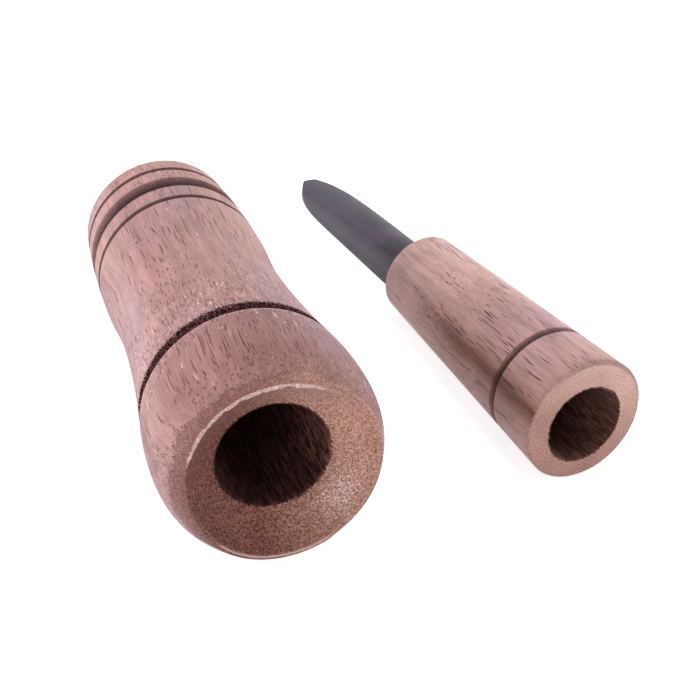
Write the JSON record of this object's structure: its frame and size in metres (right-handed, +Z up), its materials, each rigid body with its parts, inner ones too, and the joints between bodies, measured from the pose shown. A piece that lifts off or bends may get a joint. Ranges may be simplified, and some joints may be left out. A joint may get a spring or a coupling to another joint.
{
  "type": "bird call",
  "caption": "Turned wooden bird call drawn apart: a barrel with a dished mouth and turned rings, and a tapered insert that holds a tone board with a clamped reed.",
  "frame": {"origin": "middle of the ground that both pieces cover, on the surface they lie on", "axes": "+Z up, +Y the way the barrel points from its mouth to its ring end as seen from above, +X towards the insert"},
  "size_m": [0.0813, 0.1072, 0.0321],
  "materials": {
    "walnut": "sanded, bare",
    "board_plastic": "moulded, satin",
    "cork": "cut cork",
    "reed_film": "frosted film"
  },
  "bodies": {
    "barrel": {"barrel": "walnut"},
    "insert": {"insert_body": "walnut", "toneboard": "board_plastic", "wedge": "cork", "reed_root": "reed_film"},
    "reed": {"reed_tongue": "reed_film"}
  },
  "joints": [
    {"name": "insert_lift", "type": "slide", "parent": "barrel", "child": "insert", "axis": [0, 0, 1], "range_m": [0, 0.06]},
    {"name": "reed_flex", "type": "hinge", "parent": "insert", "child": "reed", "pos_m": [0.02095, 0.01486, 0.00465], "axis": [-0.9713, -0.2135, -0.1043], "range_deg": [-0.75, 0.8], "stiffness_Nm_per_rad": 0.01}
  ]
}
